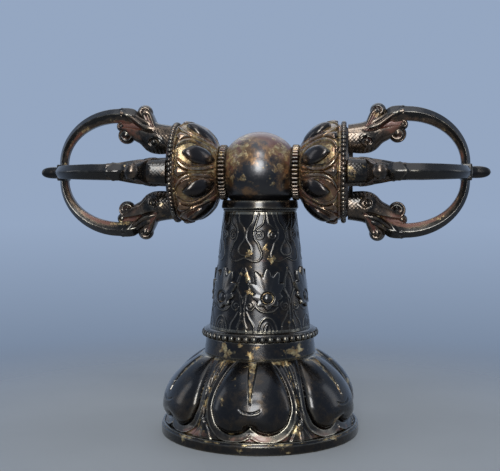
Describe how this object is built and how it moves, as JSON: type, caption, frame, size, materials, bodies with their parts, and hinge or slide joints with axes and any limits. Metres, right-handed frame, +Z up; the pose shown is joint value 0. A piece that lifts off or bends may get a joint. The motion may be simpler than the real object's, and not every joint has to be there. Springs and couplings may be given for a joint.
{
  "type": "dorje vajra on a stand",
  "caption": "Double-ended pronged vajra with sea-monster heads and lotus cups, its ball laid in the collar of a tapered column on a lotus-petal base.",
  "frame": {"origin": "middle of the foot, on the table", "axes": "+Z up, +X along the vajra to its right end, front towards -Y"},
  "size_m": [0.225, 0.0988, 0.1622],
  "materials": {
    "dark_bronze": "polished dark patina with worn bright edges and remains of gilding",
    "lacquered_bronze": "dark bosses on a worn gilt and red-brown ground",
    "gilt_bronze": "raised relief, dark bronze with part of its gilding",
    "plain_bronze": "plain drawn rod, hidden"
  },
  "bodies": {
    "stand": {"foot_ring": "dark_bronze", "lotus_base": "dark_bronze", "neck_ring": "dark_bronze", "column_bead_ring": "dark_bronze", "column": "dark_bronze", "column_emblems": "gilt_bronze", "column_collar": "dark_bronze"},
    "vajra": {"hub_ball": "dark_bronze", "core_rod": "plain_bronze", "left_inner_ring": "dark_bronze", "right_inner_ring": "dark_bronze", "left_calyx": "lacquered_bronze", "right_calyx": "lacquered_bronze", "left_outer_ring": "dark_bronze", "right_outer_ring": "dark_bronze", "left_top_prong": "dark_bronze", "left_bottom_prong": "dark_bronze", "left_front_prong": "dark_bronze", "left_back_prong": "dark_bronze", "right_top_prong": "dark_bronze", "right_bottom_prong": "dark_bronze", "right_front_prong": "dark_bronze", "right_back_prong": "dark_bronze", "left_central_prong": "dark_bronze", "right_central_prong": "dark_bronze"}
  },
  "joints": [
    {"name": "vajra_lift", "type": "slide", "parent": "stand", "child": "vajra", "axis": [0, 0, 1], "range_m": [0, 0.04]}
  ]
}
